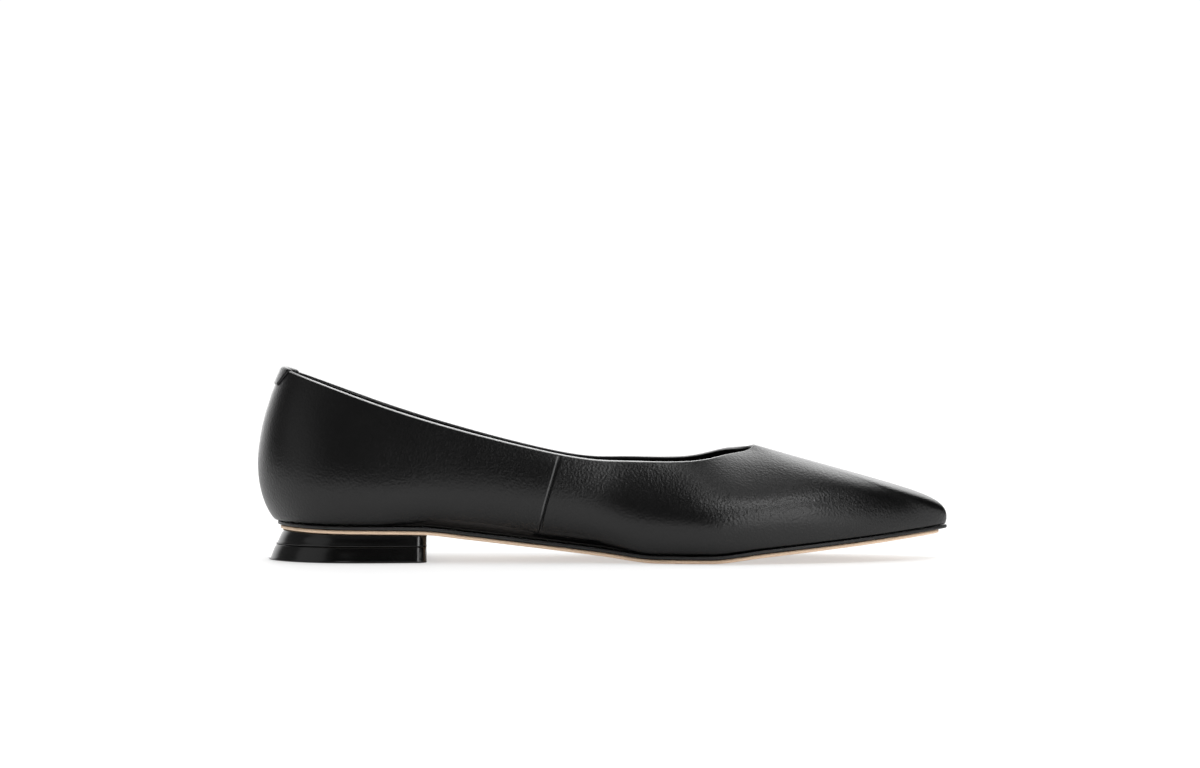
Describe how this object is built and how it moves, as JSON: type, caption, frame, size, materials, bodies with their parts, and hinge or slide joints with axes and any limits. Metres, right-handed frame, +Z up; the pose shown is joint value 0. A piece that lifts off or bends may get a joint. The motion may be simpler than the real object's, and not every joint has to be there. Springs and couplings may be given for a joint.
{
  "type": "pointed flat pump",
  "caption": "Pointed-toe flat pump for the right foot: a hollow black leather upper, low-cut with a back tab, on a thin tan-edged sole with a low stepped heel.",
  "frame": {"origin": "on the floor, under the middle of the shoe's length and width", "axes": "+X from heel to toe, -Y to the outer (lateral) side of the foot, +Z up"},
  "size_m": [0.2659, 0.0734, 0.0743],
  "materials": {
    "black_leather": "smooth black leather, fine grain, satin sheen",
    "black_edge": "black inked edge, slightly rough",
    "tan_sole": "pale tan sole leather, waxed edge",
    "black_gloss": "high-gloss black lacquer",
    "black_sock": "matt black lining leather"
  },
  "bodies": {
    "root": {"outsole": "tan_sole", "midsole": "black_edge", "heel_block": "black_gloss", "heel_top_piece": "black_gloss", "upper": "black_leather", "back_tab": "black_leather", "insole": "black_sock"}
  },
  "joints": []
}
